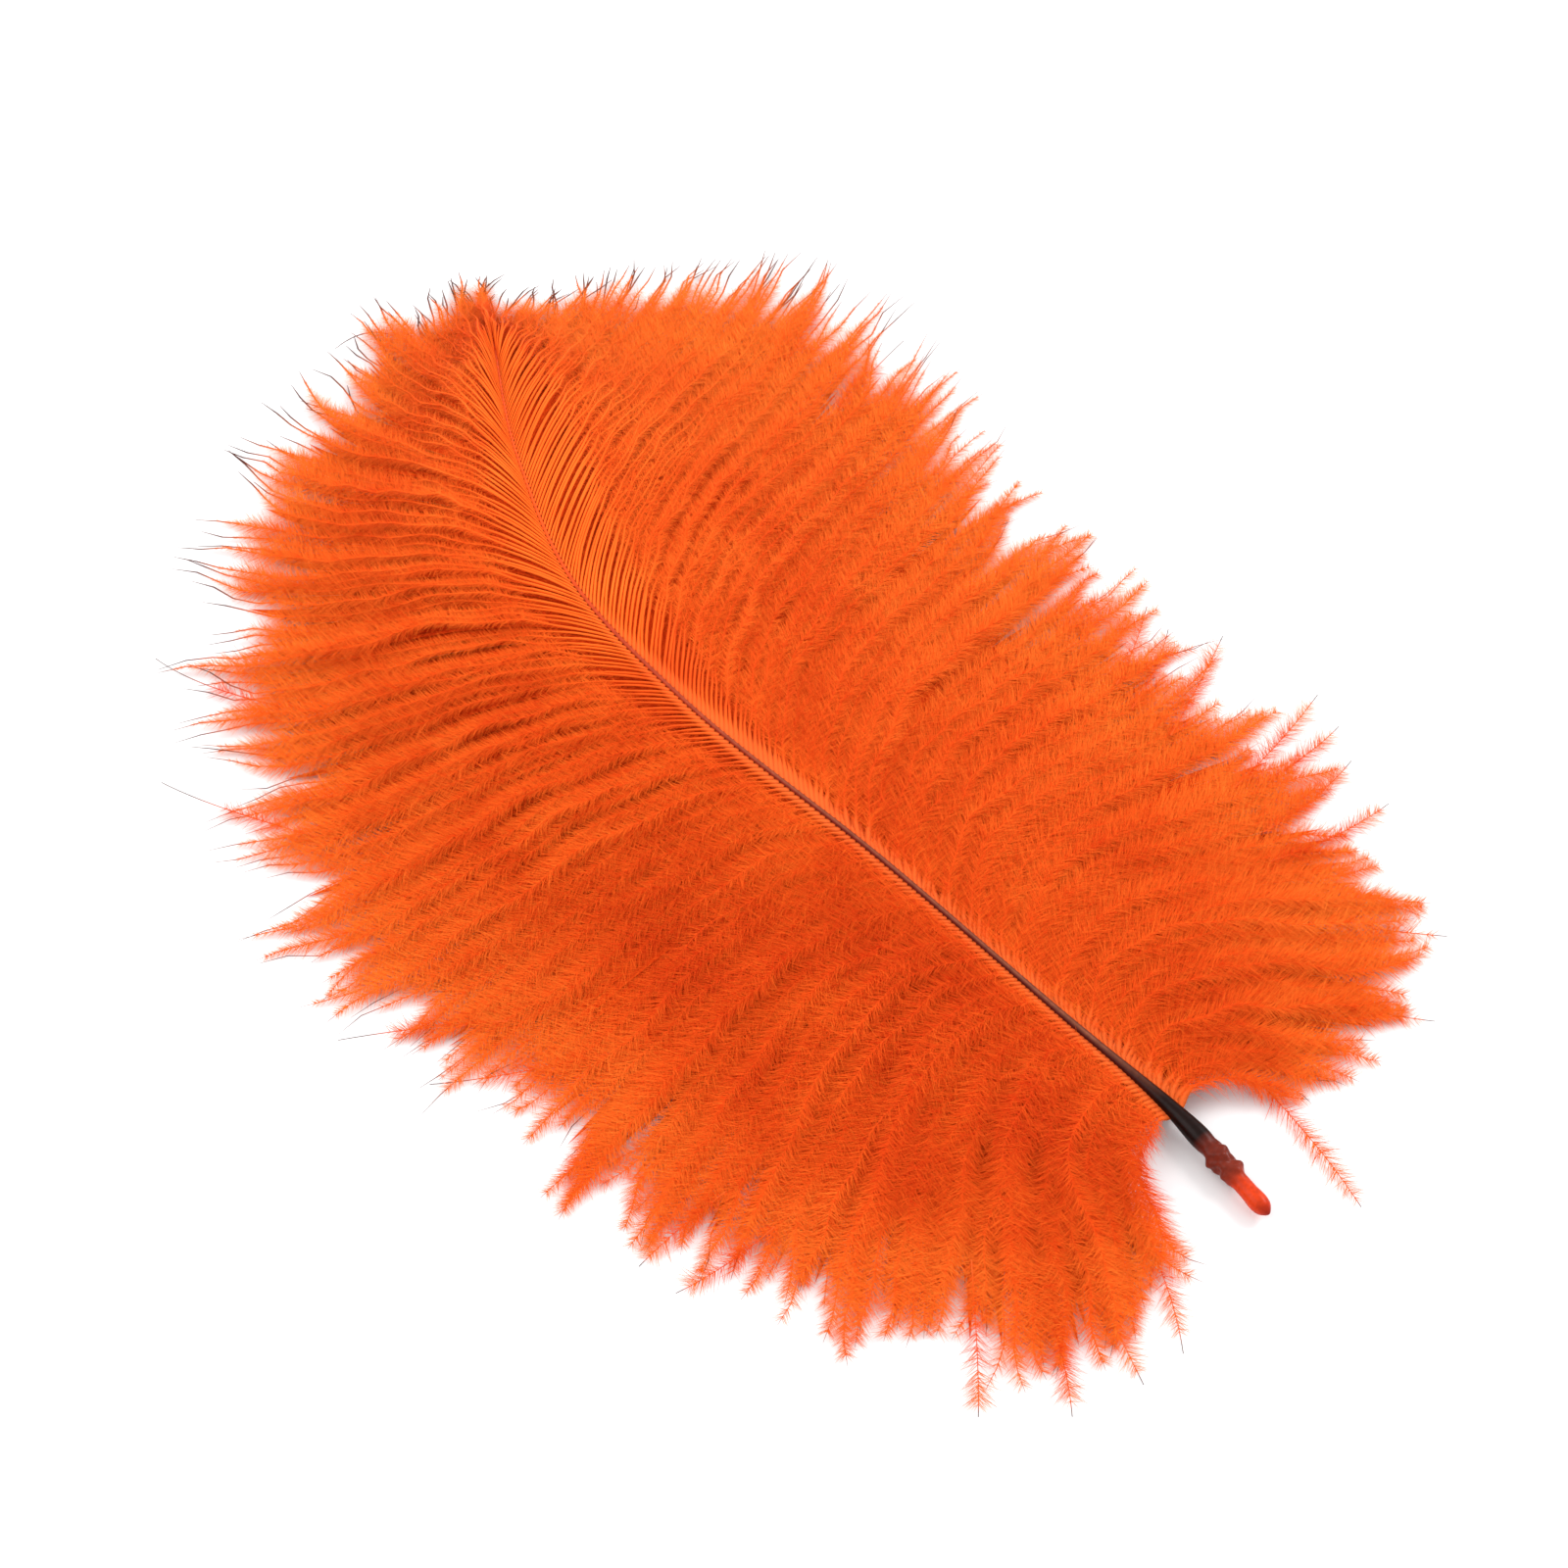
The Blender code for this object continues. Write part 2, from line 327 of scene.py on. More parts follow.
# Share of the shaft where a barb grows, its length in millimetres, and the angle in degrees
# between the shaft and the barb, where it starts and where it ends.
LEFT_BARBS = (
    (0.09, 40.0, 75.0, 160.0),
    (0.12, 70.0, 62.0, 146.0),
    (0.18, 90.0, 54.0, 123.0),
    (0.28, 99.0, 50.0, 102.0),
    (0.42, 104.0, 50.0, 75.0),
    (0.50, 104.0, 47.0, 68.0),
    (0.58, 101.0, 38.0, 50.0),
    (0.66, 101.0, 28.0, 38.0),
    (0.74, 98.0, 20.0, 27.0),
    (0.82, 88.0, 16.0, 16.0),
    (0.90, 69.0, 13.0, 8.0),
    (1.00, 36.0, 8.0, 0.0),
)
RIGHT_BARBS = (
    (0.09, 32.0, 60.0, 139.0),
    (0.12, 67.0, 48.0, 144.0),
    (0.16, 90.0, 44.0, 137.0),
    (0.22, 103.0, 42.0, 113.0),
    (0.35, 118.0, 42.0, 93.0),
    (0.47, 140.0, 42.0, 82.0),
    (0.58, 157.0, 38.0, 67.0),
    (0.66, 147.0, 33.0, 55.0),
    (0.75, 118.0, 29.0, 37.0),
    (0.85, 84.0, 25.0, 27.0),
    (1.00, 29.0, 15.0, 8.0),
)

# Shares of the shaft: where the barbs start, and from where on they close up to its direction.
VANE_START = 0.09
CLOSING_FROM = 0.95

# A barb is rooted at this share of the quill's half thickness from its middle, and below it. It
# turns most near its root, and lies on the ground from this share of its length on.
ROOT_OUT = 0.9
ROOT_DROP = 0.8 * MM
BARB_TURNING = 3.0
LYING_FROM = 0.84

# The room between a vane's underside and its top: the whole, the share of it at the shaft, how fast
# it swells, and from where on and by how much it tapers to the ends of the barbs.
VANE_THICKNESS = 5.5 * MM
THICK_AT_SHAFT, SWELLED_BY, SWELLING = 0.30, 0.70, 1.2
TAPERS_FROM, TAPERED_BY = 0.4, 0.75

# The points along a barb crowd towards its root, and its direction is summed over finer steps.
BARB_POINTS = 26
POINT_CROWDING = 1.4
SWEEP_STEPS = 200
OUTWARD = np.linspace(0, 1, BARB_POINTS) ** POINT_CROWDING


def smooth_step(x, low, high):
    """0 below low, 1 above high, and 3t^2 - 2t^3 between them."""
    t = np.clip((x - low) / (high - low), 0, 1)
    return t * t * (3 - 2 * t)


def free_barbs(keys, side, share, reach):
    """Plan and underside of barbs that lie free, as an array of barbs by points by 3.

    At v of its length a barb stands at the angle a + (b - a)(1 - (1 - v)^3) to the shaft, so
    its plan is the root plus its length times the integral of (sin, cos) of that direction.
    Its height falls from the root's as (1 - (v / lying)^2)^2. The angles fade out towards the
    shaft's very tip, where the barbs close up.
    """
    length, first_angle, last_angle = smooth_through(keys, share).T
    heading = heading_at(share)
    root = shaft_at(share)
    offset = side * quill_radius_at(share) * ROOT_OUT
    root[:, 0] += offset * np.cos(heading)
    root[:, 1] -= offset * np.sin(heading)
    closing = 1 - smooth_step(share, CLOSING_FROM, 1.0)
    first_angle, last_angle = first_angle * closing, last_angle * closing
    middle = (np.arange(SWEEP_STEPS) + 0.5) / SWEEP_STEPS
    turned = 1 - (1 - middle) ** BARB_TURNING
    turn = np.radians(first_angle[:, None] + (last_angle - first_angle)[:, None] * turned)
    direction = heading[:, None] + side * turn
    points = np.empty((len(share), BARB_POINTS, 3))
    at = np.rint(OUTWARD * SWEEP_STEPS).astype(int)
    for axis, part in enumerate((np.sin(direction), np.cos(direction))):
        swept = np.cumsum(part, axis=1) / SWEEP_STEPS
        swept = np.concatenate([np.zeros((len(share), 1)), swept], axis=1)
        points[..., axis] = root[:, axis, None] + (length * MM * reach)[:, None] * swept[:, at]
    sag = np.minimum(OUTWARD / LYING_FROM, 1)
    points[..., 2] = (root[:, 2:] - ROOT_DROP) * (1 - sag**2) ** 2
    return points


def vane_thickness(outward):
    """The room between a vane's underside and its top, at a share of the way to the barbs' ends.

    It swells as a + b sin(pi c out) until the sine is 1. From TAPERS_FROM on it also falls,
    straight, to a quarter at the ends of the barbs.
    """
    swell = THICK_AT_SHAFT + SWELLED_BY * np.sin(math.pi * np.minimum(outward * SWELLING, 0.5))
    taper = 1 - TAPERED_BY * np.maximum(outward - TAPERS_FROM, 0) / (1 - TAPERS_FROM)
    return VANE_THICKNESS * swell * taper


def across_of(along):
    """The level direction at a right angle to each direction, and the one above both."""
    across = np.cross(along, [0.0, 0.0, 1.0])
    across /= np.linalg.norm(across, axis=-1, keepdims=True)
    return across, np.cross(across, along)


# The flat wisps crowd towards the quill end. They end at these shares of the barbs' length, lie
# below this share of the vane's thickness, and overlap and tilt a little.
UNDER_WISPS = 300
UNDER_FROM = 0.03
UNDER_CROWDING = 1.4
UNDER_ROWS = 15
UNDER_ENDS = (0.68, 0.87)
UNDER_LAYER = 0.16
UNDER_OVERLAP, UNDER_POINTED = 1.15, 5
UNDER_TILT = 0.12
UNDER_LOWEST = 0.1 * MM

# The fibres in a wisp's colour: the pattern's room from one wisp to the next, and across one.
WISP_PITCH = 2.0
WISP_BREADTH = 1.8


def under_wisps(keys, side, seed):
    """Ribbons along the barbs' own free paths, low in the vane: points, triangles and values.

    At u of its own length a ribbon reaches the overlap times (1 - u^5) of the gap to the next one
    to both sides, so it ends in a point. Its row is two points wide.
    """
    draw = np.random.default_rng(seed)
    crowded = np.linspace(UNDER_FROM, 1, UNDER_WISPS) ** UNDER_CROWDING
    share = VANE_START + (1 - VANE_START) * crowded
    paths = free_barbs(keys, side, share, np.ones(UNDER_WISPS))
    along_ribbon = np.linspace(0, 1, UNDER_ROWS)
    outward = draw.uniform(*UNDER_ENDS, UNDER_WISPS)[:, None] * along_ribbon
    place = outward ** (1 / POINT_CROWDING) * (BARB_POINTS - 1)
    low = place.astype(int)
    between = (place - low)[..., None]
    line = np.arange(UNDER_WISPS)[:, None]
    middle = paths[line, low] * (1 - between) + paths[line, low + 1] * between
    middle[..., 2] += draw.uniform(0, UNDER_LAYER, UNDER_WISPS)[:, None] * vane_thickness(outward)
    along = np.gradient(middle, axis=1)
    along /= np.linalg.norm(along, axis=2, keepdims=True)
    across, over = across_of(along)
    to_next = np.gradient(middle[..., :2], axis=0)
    gap = np.abs(to_next[..., 0] * along[..., 1] - to_next[..., 1] * along[..., 0])
    half = UNDER_OVERLAP * gap * (1 - along_ribbon**UNDER_POINTED)
    tilt = draw.normal(0, UNDER_TILT, UNDER_WISPS)[:, None, None]
    to_edge = half[..., None] * (across + tilt * over)
    points = np.stack([middle - to_edge, middle + to_edge], axis=2)
    points[..., 2] = np.maximum(points[..., 2], UNDER_LOWEST)
    row, ribbon = np.meshgrid(np.arange(UNDER_ROWS - 1), np.arange(UNDER_WISPS))
    first = (ribbon * UNDER_ROWS + row) * 2
    quads = np.stack([first, first + 1, first + 3, first + 2], axis=-1).reshape(-1, 4)
    triangles = np.concatenate([quads[:, [0, 1, 2]], quads[:, [0, 2, 3]]])
    strand = WISP_PITCH * np.arange(UNDER_WISPS)[:, None, None] + np.array([0.0, WISP_BREADTH])
    strand = np.repeat(strand, UNDER_ROWS, axis=1)
    values = {"strand": strand, "outward": np.repeat(outward, 2)}
    return points.reshape(-1, 3), triangles, values


# Dull deep orange, darker than the barbs as painted shade for the gaps between them, in long fibres: their
# pattern is stretched along the wisp.
FIBRE_TURNS = 30.0
mat = MaterialNodes("matted_down_painted_shade")
fibre_across = mat.attribute("strand")
fibre_along = mat.node("ShaderNodeMath", {
    0: mat.attribute("outward"), 1: FIBRE_TURNS}, operation="MULTIPLY")
fibre_place = mat.node("ShaderNodeCombineXYZ", {"X": fibre_across, "Y": fibre_along.outputs[0]})
fibres = mat.node("ShaderNodeTexNoise", {"Vector": fibre_place.outputs[0], "Scale": 2.0, "Detail": 4.0})
mat.link(mat.ramp(fibres.outputs["Fac"], (
    (0.30, (0.60, 0.035, 0.003, 1.0)),
    (0.55, (0.78, 0.075, 0.006, 1.0)),
    (0.75, (0.92, 0.130, 0.010, 1.0)),
)), "Base Color")
mat.shader.inputs["Roughness"].default_value = 1.0
mat.shader.inputs["Specular IOR Level"].default_value = 0.05
mat_bump = mat.node("ShaderNodeBump", {"Height": fibres.outputs["Fac"], "Strength": 0.8, "Distance": 0.0006})
mat.link(mat_bump.outputs["Normal"], "Normal")

# Each vane's name, its barbs, the side of the shaft that it is on, and its seed.
VANES = (("left", LEFT_BARBS, -1, 11), ("right", RIGHT_BARBS, 1, 12))


def dress(vane, name, surface, material):
    """A piece in place of the vane's solid, from its points, triangles and values."""
    points, triangles, values = surface
    piece = piece_from(name, points, triangles, material, **values)
    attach(piece, "root")
    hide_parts(f"vane_{vane}")


for vane, keys, side, seed in VANES:
    dress(vane, f"{vane}_under_down", under_wisps(keys, side, seed), mat.material)


# The barbs and their barbules
# Barbs grow side by side from both edges of the rachis, each a flattened hair with fine down along
# both edges and a bare, darker end. They cling by twos to fours in wisps, and the wisps meet in
# pointed locks. Each vane's barbs make three pieces, from its base to its tip.

# How far apart barbs grow, at the base, in the middle and near the tip, the stretches of the shaft
# on which one changes to the next, and how much closer the barbs are at the very tip.
SHAFT_LENGTH = 300.0 * MM
SPACING_AT_BASE = 1.05 * MM
SPACING, SPACED_OVER = 1.35 * MM, (0.1, 0.4)
SPACING_AT_TIP, SPACED_AT_TIP_OVER = 1.7 * MM, (0.5, 0.8)
SPACING_CLOSED = 0.6
FINE_STEPS = 2000

# A wisp has from the first number of barbs to one below the second.
WISP_BARBS = (2, 5)

# The locks crowd towards the quill end. Their lengths differ, with notches between them.
LOCKS = 26
LOCK_CROWDING = 1.4
LOCK_SEED = 7
LOCK_LENGTH_SPREAD = 0.05
NOTCH_AT_BASE = 0.18
NOTCH_AT_TIP = 0.12
NOTCH_IN_BARBS = 0.4

# Shares of a barb's full length: how wisps differ, how much single barbs fall short, where a power
# lets most of them miss little, how long barbs at the vane's base are, how much longer the others
# get over a stretch of the shaft, more on the longer vane, and the most. A share of the barbs
# beyond a place on the shaft has long ends.
WISP_LENGTH_SPREAD = 0.04
OWN_LENGTH, OWN_SHORTER, OWN_SHORTER_POWER = 1.03, 0.12, 1.5
BASE_LENGTH = 0.94
LONGER, LONGER_BY_SIDE, LONGER_OVER = 0.09, 0.02, (0.15, 0.6)
LONG_ENDED_SHARE, LONG_ENDED_FROM, LONG_ENDED_BY = 0.3, 0.25, 0.03
LONGEST = 1.03

# Near the shaft the barbs lie edge to edge as ribs. In millimetres: how far, how much further near
# the tip and on the longer vane, and then over what length they come free. Both grow over a stretch
# of the shaft, and have a limit in shares of the barb's length.
RIB, RIB_AT_TIP, RIB_BY_SIDE = 0.6, 19.0, 5.0
FREEING, FREEING_AT_TIP = 4, 12
TIPWARD_OVER = (0.35, 0.75)
RIB_LIMIT, FREE_LIMIT = 0.25, 0.6

# How far a barb leans to the middle lines of its wisp near the shaft, its wisp further out and
# its lock, each with the length, or the shares of the barb, over which it comes to that. At its
# end it leaves the outer wisp's line a little.
LEAN_TO_INNER_WISP, INNER_LEAN_OVER = 0.27, 20 * MM
LEAN_TO_WISP, OUTER_WISP_OVER = 0.30, (0.40, 0.62)
LEAVING_WISP, LEAVING_WISP_OVER = 0.4, (0.7, 0.95)
LEAN_TO_LOCK, LOCK_LEAN_OVER = 0.30, (0.84, 1.0)

# How far barbs sway, and over what length. Each group's wave is longer or shorter, and lower, by
# random factors between these.
INNER_SWAY, INNER_WAVE = 0.6 * MM, 36 * MM
WISP_SWAY, WISP_WAVE = 0.8 * MM, 42 * MM
OWN_SWAY, OWN_WAVE = 0.8 * MM, 19 * MM
WAVE_LENGTHS = (0.75, 1.4)
WAVE_HEIGHTS = (0.35, 1.0)

# In millimetres: how far barbs lean at random, and over what length, how far they curl from this
# share of their length on, and how far a few strays go, over these shares of theirs.
OWN_LEAN, OWN_LEAN_OVER = 0.22, 12
CURL_FROM = 0.72
WISP_CURL = 2.2
OWN_CURL = 1.6
STRAY_BY, STRAYING_OVER = 6, (0.25, 1.0)
STRAY_SHARE = 0.06

# Where barbs lie in the vane, from 0 at its underside to 1 at its top, and how that undulates. On
# their ribs they differ in height by a part of that, from a little way out.
WISP_LAYERS = (0.44, 0.72)
OWN_LAYER = 0.12
LAYER_SWAY, LAYER_WAVE = 0.08, 40 * MM
LOWEST_LAYER = 0.12
STRAY_LAYER = 0.85
MIDDLE_LAYER = 0.5
RIB_LAYERS, RIB_LAYERS_OVER = 0.3, (0, 0.1)
LAYER_AT_ROOT = 0.32
ROOT_RISE, RISEN_AT = 0.18, 3 * MM
LOWEST_BARB = 0.3 * MM

# The bare ends in millimetres, from and to, what the tip half adds to both, and long ends' more.
# The tip half begins over this stretch of the shaft.
TIP_HALF_OVER = (0.35, 0.6)
BARE_ENDS = (1.0, 3.0)
BARE_AT_TIP = (1.0, 5.0)
BARE_LONG_ENDS = (4.0, 9.0)


def waves(draw, group, size, wave_length, from_shaft):
    """For each barb its group's own sine of the distance from the shaft, with a random phase."""
    count = group.max() + 1
    phase = draw.uniform(0, 2 * math.pi, count)[group][:, None]
    longer = draw.uniform(*WAVE_LENGTHS, count)[group][:, None]
    height = (draw.uniform(*WAVE_HEIGHTS, count) * size)[group][:, None]
    return height * np.sin(2 * math.pi * from_shaft / (wave_length * longer) + phase)


def lay_barbs(keys, side, seed, lock_seed):
    """The centre lines of one vane's barbs, and what else is known of each barb.

    A barb leaves the shaft beside its neighbours, as a rib of the vane, then leans to the
    middle line of its wisp and at the end to that of its lock, and sways with its wisp. Its
    layer, from 0 at the vane's underside to 1 at its top, is mostly its wisp's.
    """
    draw = np.random.default_rng(seed)
    fine = np.linspace(VANE_START, 1, FINE_STEPS)
    spacing = SPACING_AT_BASE + (SPACING - SPACING_AT_BASE) * smooth_step(fine, *SPACED_OVER)
    spacing += (SPACING_AT_TIP - SPACING) * smooth_step(fine, *SPACED_AT_TIP_OVER)
    spacing *= 1 - SPACING_CLOSED * smooth_step(fine, CLOSING_FROM, 1.0)
    grown = np.cumsum(SHAFT_LENGTH * (fine[1] - fine[0]) / spacing)
    barbs = int(grown[-1])
    share = np.interp(np.arange(barbs) + 0.5, grown, fine)

    inner_wisp = np.repeat(np.arange(barbs), draw.integers(*WISP_BARBS, barbs))[:barbs]
    inner_share = (np.bincount(inner_wisp, share) / np.bincount(inner_wisp))[inner_wisp]
    wisp = np.repeat(np.arange(barbs), draw.integers(*WISP_BARBS, barbs))[:barbs]
    wisps = wisp[-1] + 1
    wisp_share = (np.bincount(wisp, share) / np.bincount(wisp))[wisp]
    column = LOCKS * ((share - VANE_START) / (1 - VANE_START)) ** (1 / LOCK_CROWDING)
    wisp_column = (np.bincount(wisp, column) / np.bincount(wisp))[wisp]
    lock = np.minimum(wisp_column.astype(int), LOCKS - 1)
    lock_share = VANE_START + (1 - VANE_START) * ((lock + 0.5) / LOCKS) ** LOCK_CROWDING

    crest = 1 - np.abs(2 * (column - np.floor(column)) - 1)
    notch = NOTCH_AT_BASE + (NOTCH_AT_TIP - NOTCH_AT_BASE) * share
    lock_length = 1 + LOCK_LENGTH_SPREAD * np.random.default_rng(lock_seed).uniform(-1, 1, LOCKS)
    reach = np.interp(column, np.arange(LOCKS) + 0.5, lock_length)
    reach = reach * (1 - NOTCH_IN_BARBS * notch * (1 - crest))
    reach *= 1 + WISP_LENGTH_SPREAD * draw.uniform(-1, 1, wisps)[wisp]
    reach *= OWN_LENGTH - OWN_SHORTER * draw.random(barbs) ** OWN_SHORTER_POWER
    reach *= BASE_LENGTH + (LONGER + LONGER_BY_SIDE * side) * smooth_step(share, *LONGER_OVER)
    long_ended = (draw.random(barbs) < LONG_ENDED_SHARE) & (share > LONG_ENDED_FROM)
    reach = np.minimum(reach * (1 + LONG_ENDED_BY * long_ended), LONGEST)
    length = smooth_through(keys, share)[:, 0] * MM * reach
    from_shaft = length[:, None] * OUTWARD

    own = free_barbs(keys, side, share, reach)
    inner_path = free_barbs(keys, side, inner_share, reach)
    wisp_path = free_barbs(keys, side, wisp_share, reach)
    lock_path = free_barbs(keys, side, lock_share, reach)
    tipward = smooth_step(share, *TIPWARD_OVER)[:, None]
    ribbed = (RIB + (RIB_AT_TIP + RIB_BY_SIDE * side) * tipward) * MM
    ribbed = np.minimum(ribbed, RIB_LIMIT * length[:, None])
    unribbed = ribbed + (FREEING + FREEING_AT_TIP * tipward) * MM
    unribbed = np.minimum(unribbed, FREE_LIMIT * length[:, None])
    loose = smooth_step(from_shaft, ribbed, unribbed)
    outer = smooth_step(OUTWARD, *OUTER_WISP_OVER)[None]
    to_inner = LEAN_TO_INNER_WISP * smooth_step(from_shaft, ribbed, ribbed + INNER_LEAN_OVER) * (1 - outer)
    to_wisp = LEAN_TO_WISP * outer * (1 - LEAVING_WISP * smooth_step(OUTWARD, *LEAVING_WISP_OVER))
    to_lock = LEAN_TO_LOCK * smooth_step(OUTWARD, *LOCK_LEAN_OVER)[None]
    points = own + to_inner[..., None] * (inner_path - own)
    points += to_wisp[..., None] * (wisp_path - points)
    points += to_lock[..., None] * (lock_path - points)

    tangent = np.gradient(points[..., :2], axis=1)
    tangent /= np.linalg.norm(tangent, axis=2, keepdims=True)
    to_next = np.gradient(own[..., :2], axis=0)
    gap = np.abs(to_next[..., 0] * tangent[..., 1] - to_next[..., 1] * tangent[..., 0])
    single = np.arange(barbs)
    sway = waves(draw, inner_wisp, INNER_SWAY, INNER_WAVE, from_shaft) * loose * (1 - outer)
    sway += waves(draw, wisp, WISP_SWAY, WISP_WAVE, from_shaft) * loose * outer
    sway += waves(draw, single, OWN_SWAY, OWN_WAVE, from_shaft) * loose
    leant = smooth_step(from_shaft, 0, OWN_LEAN_OVER * MM)
    sway += (draw.normal(0, OWN_LEAN, barbs) * MM)[:, None] * leant
    curl = np.maximum(OUTWARD - CURL_FROM, 0) / (1 - CURL_FROM)
    sway += (draw.normal(0, WISP_CURL, wisps)[wisp] * MM)[:, None] * curl**2
    sway += (draw.normal(0, OWN_CURL, barbs) * MM)[:, None] * curl**3
    stray = (draw.random(barbs) < STRAY_SHARE) * draw.uniform(-STRAY_BY, STRAY_BY, barbs) * MM
    sway += stray[:, None] * smooth_step(OUTWARD, *STRAYING_OVER)
    points[..., 0] -= sway * tangent[..., 1]
    points[..., 1] += sway * tangent[..., 0]

    inner_layer = draw.uniform(*WISP_LAYERS, barbs)[inner_wisp]
    outer_layer = draw.uniform(*WISP_LAYERS, wisps)[wisp]
    layer = inner_layer[:, None] * (1 - outer) + outer_layer[:, None] * outer
    own_layer = draw.uniform(-OWN_LAYER, OWN_LAYER, barbs)
    layer += own_layer[:, None] + waves(draw, wisp, LAYER_SWAY, LAYER_WAVE, from_shaft)
    layer = np.where(stray[:, None] != 0, STRAY_LAYER, layer)
    spread = np.maximum(loose, RIB_LAYERS * smooth_step(OUTWARD, *RIB_LAYERS_OVER))
    rise = smooth_step(from_shaft, 0, RISEN_AT)
    layer = (np.clip(layer, LOWEST_LAYER, 1.0) - MIDDLE_LAYER) * spread + LAYER_AT_ROOT + ROOT_RISE * rise
    points[..., 2] += layer * vane_thickness(OUTWARD)
    points[..., 2] = np.maximum(points[..., 2], LOWEST_BARB)

    tip_half = smooth_step(share, *TIP_HALF_OVER)
    least, most = (end + more * tip_half for end, more in zip(BARE_ENDS, BARE_AT_TIP))
    bare = draw.uniform(least, most) * MM
    bare += draw.uniform(*BARE_LONG_ENDS, barbs) * MM * long_ended
    return {"share": share, "points": points, "length": length, "gap": gap, "ribbed": ribbed[:, 0],
            "unribbed": unribbed[:, 0], "bare_from": 1 - bare / length, "side": side, "dense": 1.0}


# A barb's half thickness in millimetres, by this power of what is left to its end, its finest, and
# how much less both are in the base half, which ends over a stretch of the shaft. On a rib it
# widens to this share of the gap, up to a limit, and that fades until this many times the rib's
# length. At its root it fills the gap, over a band. Its height is a share of the thickness, and
# more on a rib.
BASE_HALF_UNTIL = (0.45, 0.70)
HAIR, HAIR_LESS_AT_BASE = 0.20, 0.08
HAIR_TAPER = 0.17
HAIR_END, HAIR_END_LESS_AT_BASE = 0.065, 0.04
RIB_WIDTH, RIB_WIDTH_LIMIT, RIB_FADES_BY = 0.3, 0.3 * MM, 1.6
HEIGHT, HEIGHT_ON_RIB = 0.9, 0.5
ROOT_WIDTH, ROOT_WIDER_AT_BASE = 0.55, 0.30

# The root's band in millimetres, what is added at the base and on the longer vane, and the shares
# of it over which it fades.
ROOT_BAND, ROOT_BAND_AT_BASE, ROOT_BAND_BY_SIDE = 1.2, 2.6, 1.2
ROOT_FADES_FROM, ROOT_FADES_TO = 0.3, 1.3

# A barb's colour values: how pale its root is, its dye, less at the vane's base as painted shade and
# more on a rib and outwards as painted light and a painted glow, and how far before the bare end it starts
# to darken.
ROOT_PALE, ROOT_PALE_AT_BASE = 0.35, 0.25
BARB_DYE, BARB_PAINTED_SHADE_AT_BASE, BARB_PAINTED_LIGHT_ON_RIB = 0.55, 0.28, 0.10
BARB_PAINTED_GLOW, BARB_PAINTED_GLOW_OVER = 0.20, (0.5, 1.0)
BARE_STARTS_EARLIER = 0.04


def barb_hairs(barbs, chosen):
    """A four-sided tube along each chosen barb: points, triangles and their values.

    Its ring is centre + wide cos a across + high sin a over, wide and flat at the root, where it
    touches its neighbours, and a fine hair at the end.
    """
    points = barbs["points"][chosen]
    count = len(chosen)
    from_shaft = barbs["length"][chosen][:, None] * OUTWARD
    along = np.gradient(points, axis=1)
    along /= np.linalg.norm(along, axis=2, keepdims=True)
    across, over = across_of(along)
    baseward = 1 - smooth_step(barbs["share"][chosen], *BASE_HALF_UNTIL)[:, None]
    root_band = ROOT_BAND + (ROOT_BAND_AT_BASE + ROOT_BAND_BY_SIDE * barbs["side"]) * baseward
    rooted = 1 - smooth_step(from_shaft, ROOT_FADES_FROM * root_band * MM, ROOT_FADES_TO * root_band * MM)
    rib_end = barbs["ribbed"][chosen][:, None]
    ribbed = 1 - smooth_step(from_shaft, rib_end, RIB_FADES_BY * rib_end)
    slender = (HAIR - HAIR_LESS_AT_BASE * baseward) * (1 - OUTWARD) ** HAIR_TAPER * MM
    finest = (HAIR_END - HAIR_END_LESS_AT_BASE * baseward) * MM
    gap = barbs["gap"][chosen]
    wide = slender + ribbed * (np.minimum(RIB_WIDTH * gap, RIB_WIDTH_LIMIT) - slender) + finest
    wide += rooted * np.maximum((ROOT_WIDTH + ROOT_WIDER_AT_BASE * baseward) * gap - wide, 0)
    high = slender * (HEIGHT + HEIGHT_ON_RIB * ribbed) + finest
    corners = math.pi * np.array([0, 1 / 2, 1, 3 / 2])
    ring = (points[:, :, None] + (wide[..., None] * np.cos(corners))[..., None] * across[:, :, None]
            + (high[..., None] * np.sin(corners))[..., None] * over[:, :, None])
    barb, station, corner = np.meshgrid(
        np.arange(count), np.arange(BARB_POINTS - 1), np.arange(4), indexing="ij")
    beside = (corner + 1) % 4
    first = (barb * BARB_POINTS + station) * 4
    quads = np.stack([first + corner, first + beside, first + 4 + beside, first + 4 + corner], axis=-1)
    quads = quads.reshape(-1, 4)
    end = (np.arange(count) + 1) * BARB_POINTS * 4 - 4
    triangles = np.concatenate([quads[:, [0, 1, 2]], quads[:, [0, 2, 3]],
                                np.stack([end, end + 1, end + 2], axis=1),
                                np.stack([end, end + 2, end + 3], axis=1)])
    bare_from = barbs["bare_from"][chosen][:, None]
    bare = smooth_step(OUTWARD, bare_from - BARE_STARTS_EARLIER, (1 + bare_from) / 2)
    pale = rooted * (ROOT_PALE + ROOT_PALE_AT_BASE * baseward)
    # The barb's value holds its dye with painted light: painted shade at the vane's base, painted light on a
    # rib and a painted glow outwards.
    dye_and_light = BARB_DYE - BARB_PAINTED_SHADE_AT_BASE * baseward * (1 - rooted)
    dye_and_light = dye_and_light + BARB_PAINTED_LIGHT_ON_RIB * ribbed * (1 - baseward)
    dye_and_light = dye_and_light + BARB_PAINTED_GLOW * smooth_step(OUTWARD, *BARB_PAINTED_GLOW_OVER)
    values = {"bare": np.repeat(bare, 4), "pale": np.repeat(pale, 4), "dye_and_light": np.repeat(dye_and_light, 4)}
    return ring.reshape(-1, 3), triangles, values


